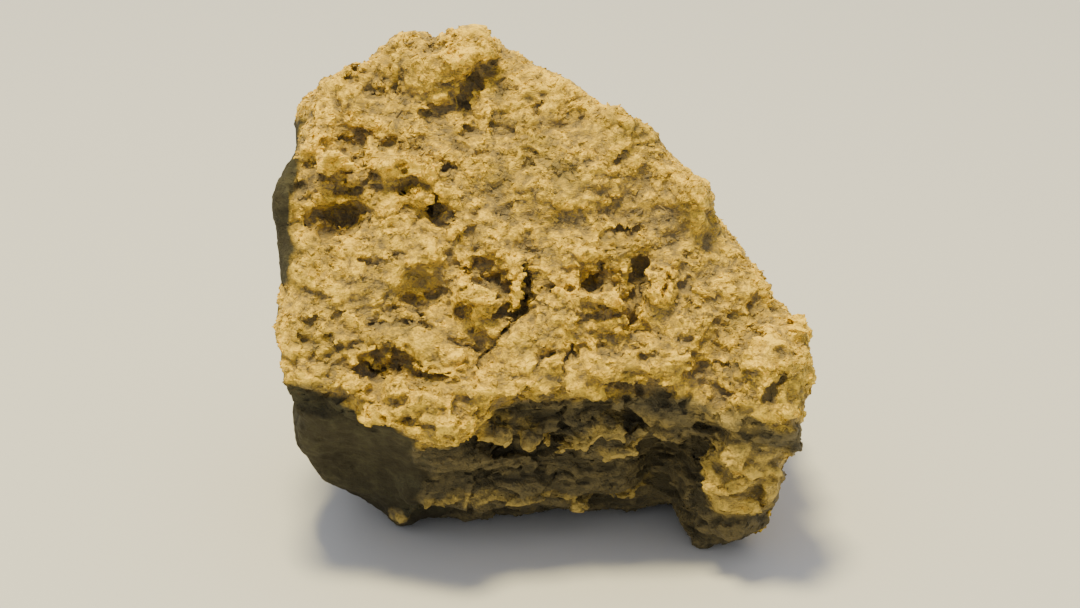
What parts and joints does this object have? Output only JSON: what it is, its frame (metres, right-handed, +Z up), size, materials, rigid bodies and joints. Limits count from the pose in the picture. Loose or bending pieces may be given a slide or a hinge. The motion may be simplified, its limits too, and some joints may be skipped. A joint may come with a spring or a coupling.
{
  "type": "meteorite",
  "caption": "Fist-sized broken stony meteorite with a rough golden front slope, ledges, pits and an undercut, and a dark crusted rear; stands on its flat base.",
  "frame": {"origin": "middle of the stone's box, on the plane that it stands on", "axes": "+Z up; the broken slope faces -Y; +X to the right of a viewer who faces the slope"},
  "size_m": [0.0974, 0.0788, 0.0918],
  "materials": {
    "broken_stone": "rough, crumbly, with bright crystal grains",
    "fusion_crust": "dark, semi-matt, finely cracked"
  },
  "bodies": {
    "root": {"meteorite": "broken_stone"}
  },
  "joints": []
}
